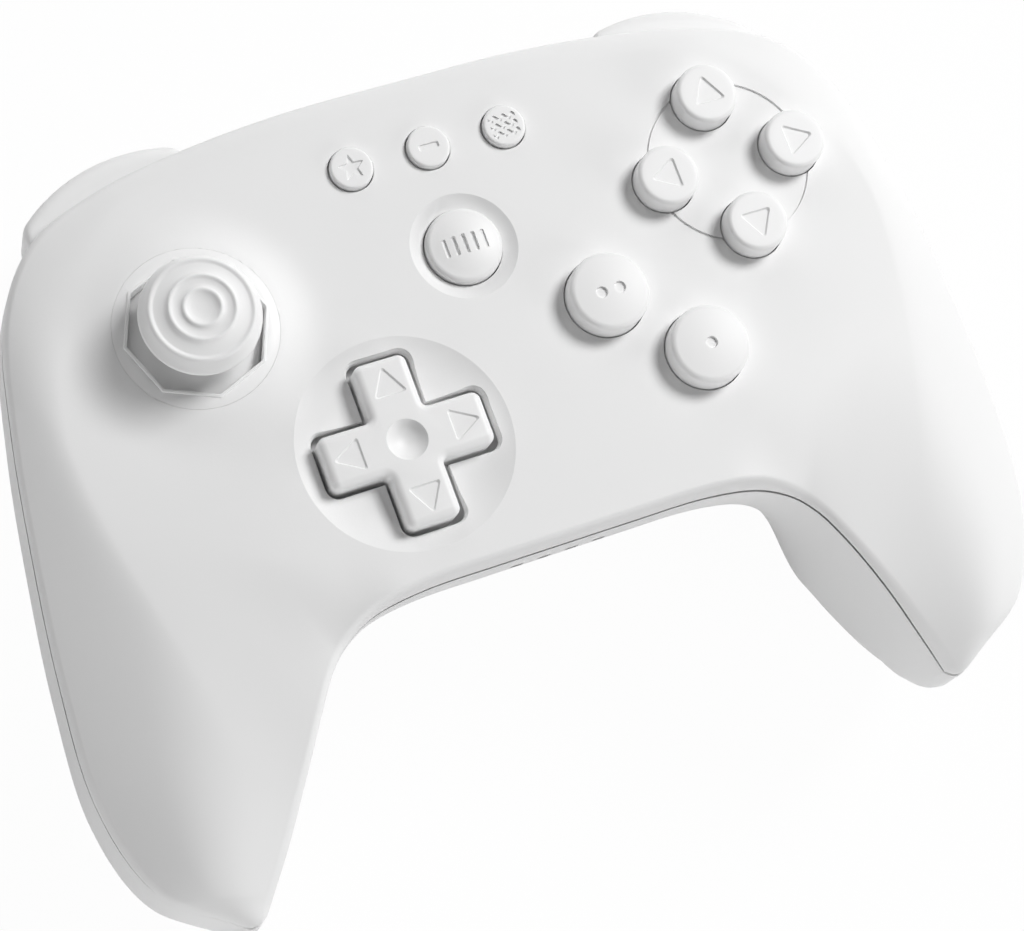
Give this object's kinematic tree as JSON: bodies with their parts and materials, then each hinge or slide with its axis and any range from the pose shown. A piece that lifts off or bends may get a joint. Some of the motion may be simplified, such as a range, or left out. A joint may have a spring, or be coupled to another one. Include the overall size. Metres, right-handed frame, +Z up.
{
  "type": "game controller",
  "caption": "Wireless game controller with hand grips, an eight-way gated thumb stick, a cross pad, round face buttons, shoulder buttons and triggers.",
  "frame": {"origin": "middle of the part's box, on the table it lies on", "axes": "+X to the right hand grip as the player holds it, +Y toward the shoulder edge, +Z up from the table; the face leans 12.6 degrees down toward the shoulder edge"},
  "size_m": [0.1538, 0.1164, 0.0514],
  "materials": {
    "shell_white": "fine matte",
    "control_white": "satin",
    "cap_white": "satin",
    "grey_plastic": "matte",
    "ivory_plastic": "matte",
    "black_plastic": "matte",
    "grey_rubber": "matte",
    "steel": "plain",
    "weight_brass": "plain",
    "board_green": "solder mask",
    "cell_foil": "foil",
    "clear_guide": "clear"
  },
  "bodies": {
    "case": {"front_shell": "shell_white", "rear_shell": "shell_white", "shell_screws": "steel", "stick_gate": "control_white", "stick_housing": "steel", "stick_board": "board_green", "pad_post": "ivory_plastic", "pad_membrane": "grey_rubber", "face_membrane": "grey_rubber", "menu_membrane": "grey_rubber", "main_board": "board_green", "battery": "cell_foil", "motor_left": "steel", "motor_right": "steel", "light_guide": "clear_guide", "usb_socket": "steel", "pair_switch": "black_plastic", "mode_switch": "black_plastic", "bracket_left": "black_plastic", "bracket_right": "black_plastic", "bumper_pins": "steel", "bumper_switches": "black_plastic", "trigger_pins": "steel", "spring_left": "steel", "spring_right": "steel"},
    "stick_gimbal": {"stick_gimbal": "black_plastic"},
    "stick": {"stick_cap": "cap_white", "stick_dome": "grey_plastic", "stick_lever": "steel"},
    "stick_bail": {"stick_bail": "black_plastic"},
    "pad_rocker": {"pad_rocker": "grey_plastic"},
    "pad": {"pad_cross": "control_white"},
    "a_button": {"a_button": "control_white"},
    "b_button": {"b_button": "control_white"},
    "c_up": {"c_up": "control_white"},
    "c_right": {"c_right": "control_white"},
    "c_down": {"c_down": "control_white"},
    "c_left": {"c_left": "control_white"},
    "start_button": {"start_button": "control_white"},
    "menu_left": {"menu_left": "control_white"},
    "menu_middle": {"menu_middle": "control_white"},
    "menu_right": {"menu_right": "control_white"},
    "pair_button": {"pair_button": "grey_plastic"},
    "mode_knob": {"mode_knob": "grey_plastic"},
    "bumper_left": {"bumper_left": "control_white"},
    "bumper_right": {"bumper_right": "control_white"},
    "trigger_left": {"trigger_left": "control_white"},
    "trigger_right": {"trigger_right": "control_white"},
    "weight_left": {"weight_left": "weight_brass"},
    "weight_right": {"weight_right": "weight_brass"}
  },
  "joints": [
    {"name": "stick_tilt_fore", "type": "hinge", "parent": "case", "child": "stick_gimbal", "pos_m": [-0.0427, 0.02698, 0.0295], "axis": [1, 0, 0], "range_deg": [-16, 16], "stiffness_Nm_per_rad": 0.03},
    {"name": "stick_tilt_side", "type": "hinge", "parent": "stick_gimbal", "child": "stick", "pos_m": [-0.0427, 0.02698, 0.0295], "axis": [0, 0.9759, -0.2181], "range_deg": [-16, 16], "stiffness_Nm_per_rad": 0.03},
    {"name": "stick_bail_turn", "type": "hinge", "parent": "case", "child": "stick_bail", "pos_m": [-0.0427, 0.02698, 0.0295], "axis": [0, 0.9759, -0.2181], "range_deg": [-16, 16]},
    {"name": "pad_tilt_fore", "type": "hinge", "parent": "case", "child": "pad_rocker", "pos_m": [-0.019, 0.00318, 0.0381], "axis": [1, 0, 0], "range_deg": [-3, 3], "stiffness_Nm_per_rad": 0.4, "deforming": ["pad_membrane"]},
    {"name": "pad_tilt_side", "type": "hinge", "parent": "pad_rocker", "child": "pad", "pos_m": [-0.019, 0.00318, 0.0381], "axis": [0, 0.9759, -0.2181], "range_deg": [-3, 3], "stiffness_Nm_per_rad": 0.4, "deforming": ["pad_membrane"]},
    {"name": "a_button_press", "type": "slide", "parent": "case", "child": "a_button", "axis": [0, -0.2181, -0.9759], "range_m": [0, 0.0016], "stiffness_N_per_m": 300, "springref_m": -0.0005, "deforming": ["face_membrane"]},
    {"name": "b_button_press", "type": "slide", "parent": "case", "child": "b_button", "axis": [0, -0.2181, -0.9759], "range_m": [0, 0.0016], "stiffness_N_per_m": 300, "springref_m": -0.0005, "deforming": ["face_membrane"]},
    {"name": "c_up_press", "type": "slide", "parent": "case", "child": "c_up", "axis": [0, -0.2181, -0.9759], "range_m": [0, 0.0016], "stiffness_N_per_m": 300, "springref_m": -0.0005, "deforming": ["face_membrane"]},
    {"name": "c_right_press", "type": "slide", "parent": "case", "child": "c_right", "axis": [0, -0.2181, -0.9759], "range_m": [0, 0.0016], "stiffness_N_per_m": 300, "springref_m": -0.0005, "deforming": ["face_membrane"]},
    {"name": "c_down_press", "type": "slide", "parent": "case", "child": "c_down", "axis": [0, -0.2181, -0.9759], "range_m": [0, 0.0016], "stiffness_N_per_m": 300, "springref_m": -0.0005, "deforming": ["face_membrane"]},
    {"name": "c_left_press", "type": "slide", "parent": "case", "child": "c_left", "axis": [0, -0.2181, -0.9759], "range_m": [0, 0.0016], "stiffness_N_per_m": 300, "springref_m": -0.0005, "deforming": ["face_membrane"]},
    {"name": "start_button_press", "type": "slide", "parent": "case", "child": "start_button", "axis": [0, -0.2181, -0.9759], "range_m": [0, 0.001], "stiffness_N_per_m": 300, "springref_m": -0.0005, "deforming": ["menu_membrane"]},
    {"name": "menu_left_press", "type": "slide", "parent": "case", "child": "menu_left", "axis": [0, -0.2181, -0.9759], "range_m": [0, 0.0007], "stiffness_N_per_m": 300, "springref_m": -0.0005, "deforming": ["menu_membrane"]},
    {"name": "menu_middle_press", "type": "slide", "parent": "case", "child": "menu_middle", "axis": [0, -0.2181, -0.9759], "range_m": [0, 0.0007], "stiffness_N_per_m": 300, "springref_m": -0.0005, "deforming": ["menu_membrane"]},
    {"name": "menu_right_press", "type": "slide", "parent": "case", "child": "menu_right", "axis": [0, -0.2181, -0.9759], "range_m": [0, 0.0007], "stiffness_N_per_m": 300, "springref_m": -0.0005, "deforming": ["menu_membrane"]},
    {"name": "pair_button_press", "type": "slide", "parent": "case", "child": "pair_button", "axis": [0, -0.9759, 0.2181], "range_m": [0, 0.0004], "stiffness_N_per_m": 800, "springref_m": -0.0005},
    {"name": "mode_knob_slide", "type": "slide", "parent": "case", "child": "mode_knob", "axis": [1, 0, 0], "range_m": [-0.002, 0.002]},
    {"name": "bumper_left_press", "type": "hinge", "parent": "case", "child": "bumper_left", "pos_m": [-0.03522, 0.05131, 0.02233], "axis": [0, 0.2181, 0.9759], "range_deg": [0, 3], "stiffness_Nm_per_rad": 0.6, "springref_deg": -1.72},
    {"name": "trigger_left_pull", "type": "hinge", "parent": "case", "child": "trigger_left", "pos_m": [-0.0467, 0.04728, 0.01318], "axis": [-0.9703, -0.2361, 0.0528], "range_deg": [0, 12], "stiffness_Nm_per_rad": 0.06, "springref_deg": -5.73},
    {"name": "weight_left_spin", "type": "hinge", "parent": "case", "child": "weight_left", "pos_m": [-0.06, -0.02626, 0.02603], "axis": [0, 0.9759, -0.2181], "continuous": true},
    {"name": "bumper_right_press", "type": "hinge", "parent": "case", "child": "bumper_right", "pos_m": [0.03522, 0.05131, 0.02233], "axis": [0, -0.2181, -0.9759], "range_deg": [0, 3], "stiffness_Nm_per_rad": 0.6, "springref_deg": -1.72},
    {"name": "trigger_right_pull", "type": "hinge", "parent": "case", "child": "trigger_right", "pos_m": [0.0467, 0.04728, 0.01318], "axis": [-0.9703, 0.2361, -0.0528], "range_deg": [0, 12], "stiffness_Nm_per_rad": 0.06, "springref_deg": -5.73},
    {"name": "weight_right_spin", "type": "hinge", "parent": "case", "child": "weight_right", "pos_m": [0.06, -0.02626, 0.02603], "axis": [0, 0.9759, -0.2181], "continuous": true}
  ],
  "couplings": [
    {"joint": "stick_bail_turn", "follows": "stick_tilt_side", "ratio": 1}
  ]
}
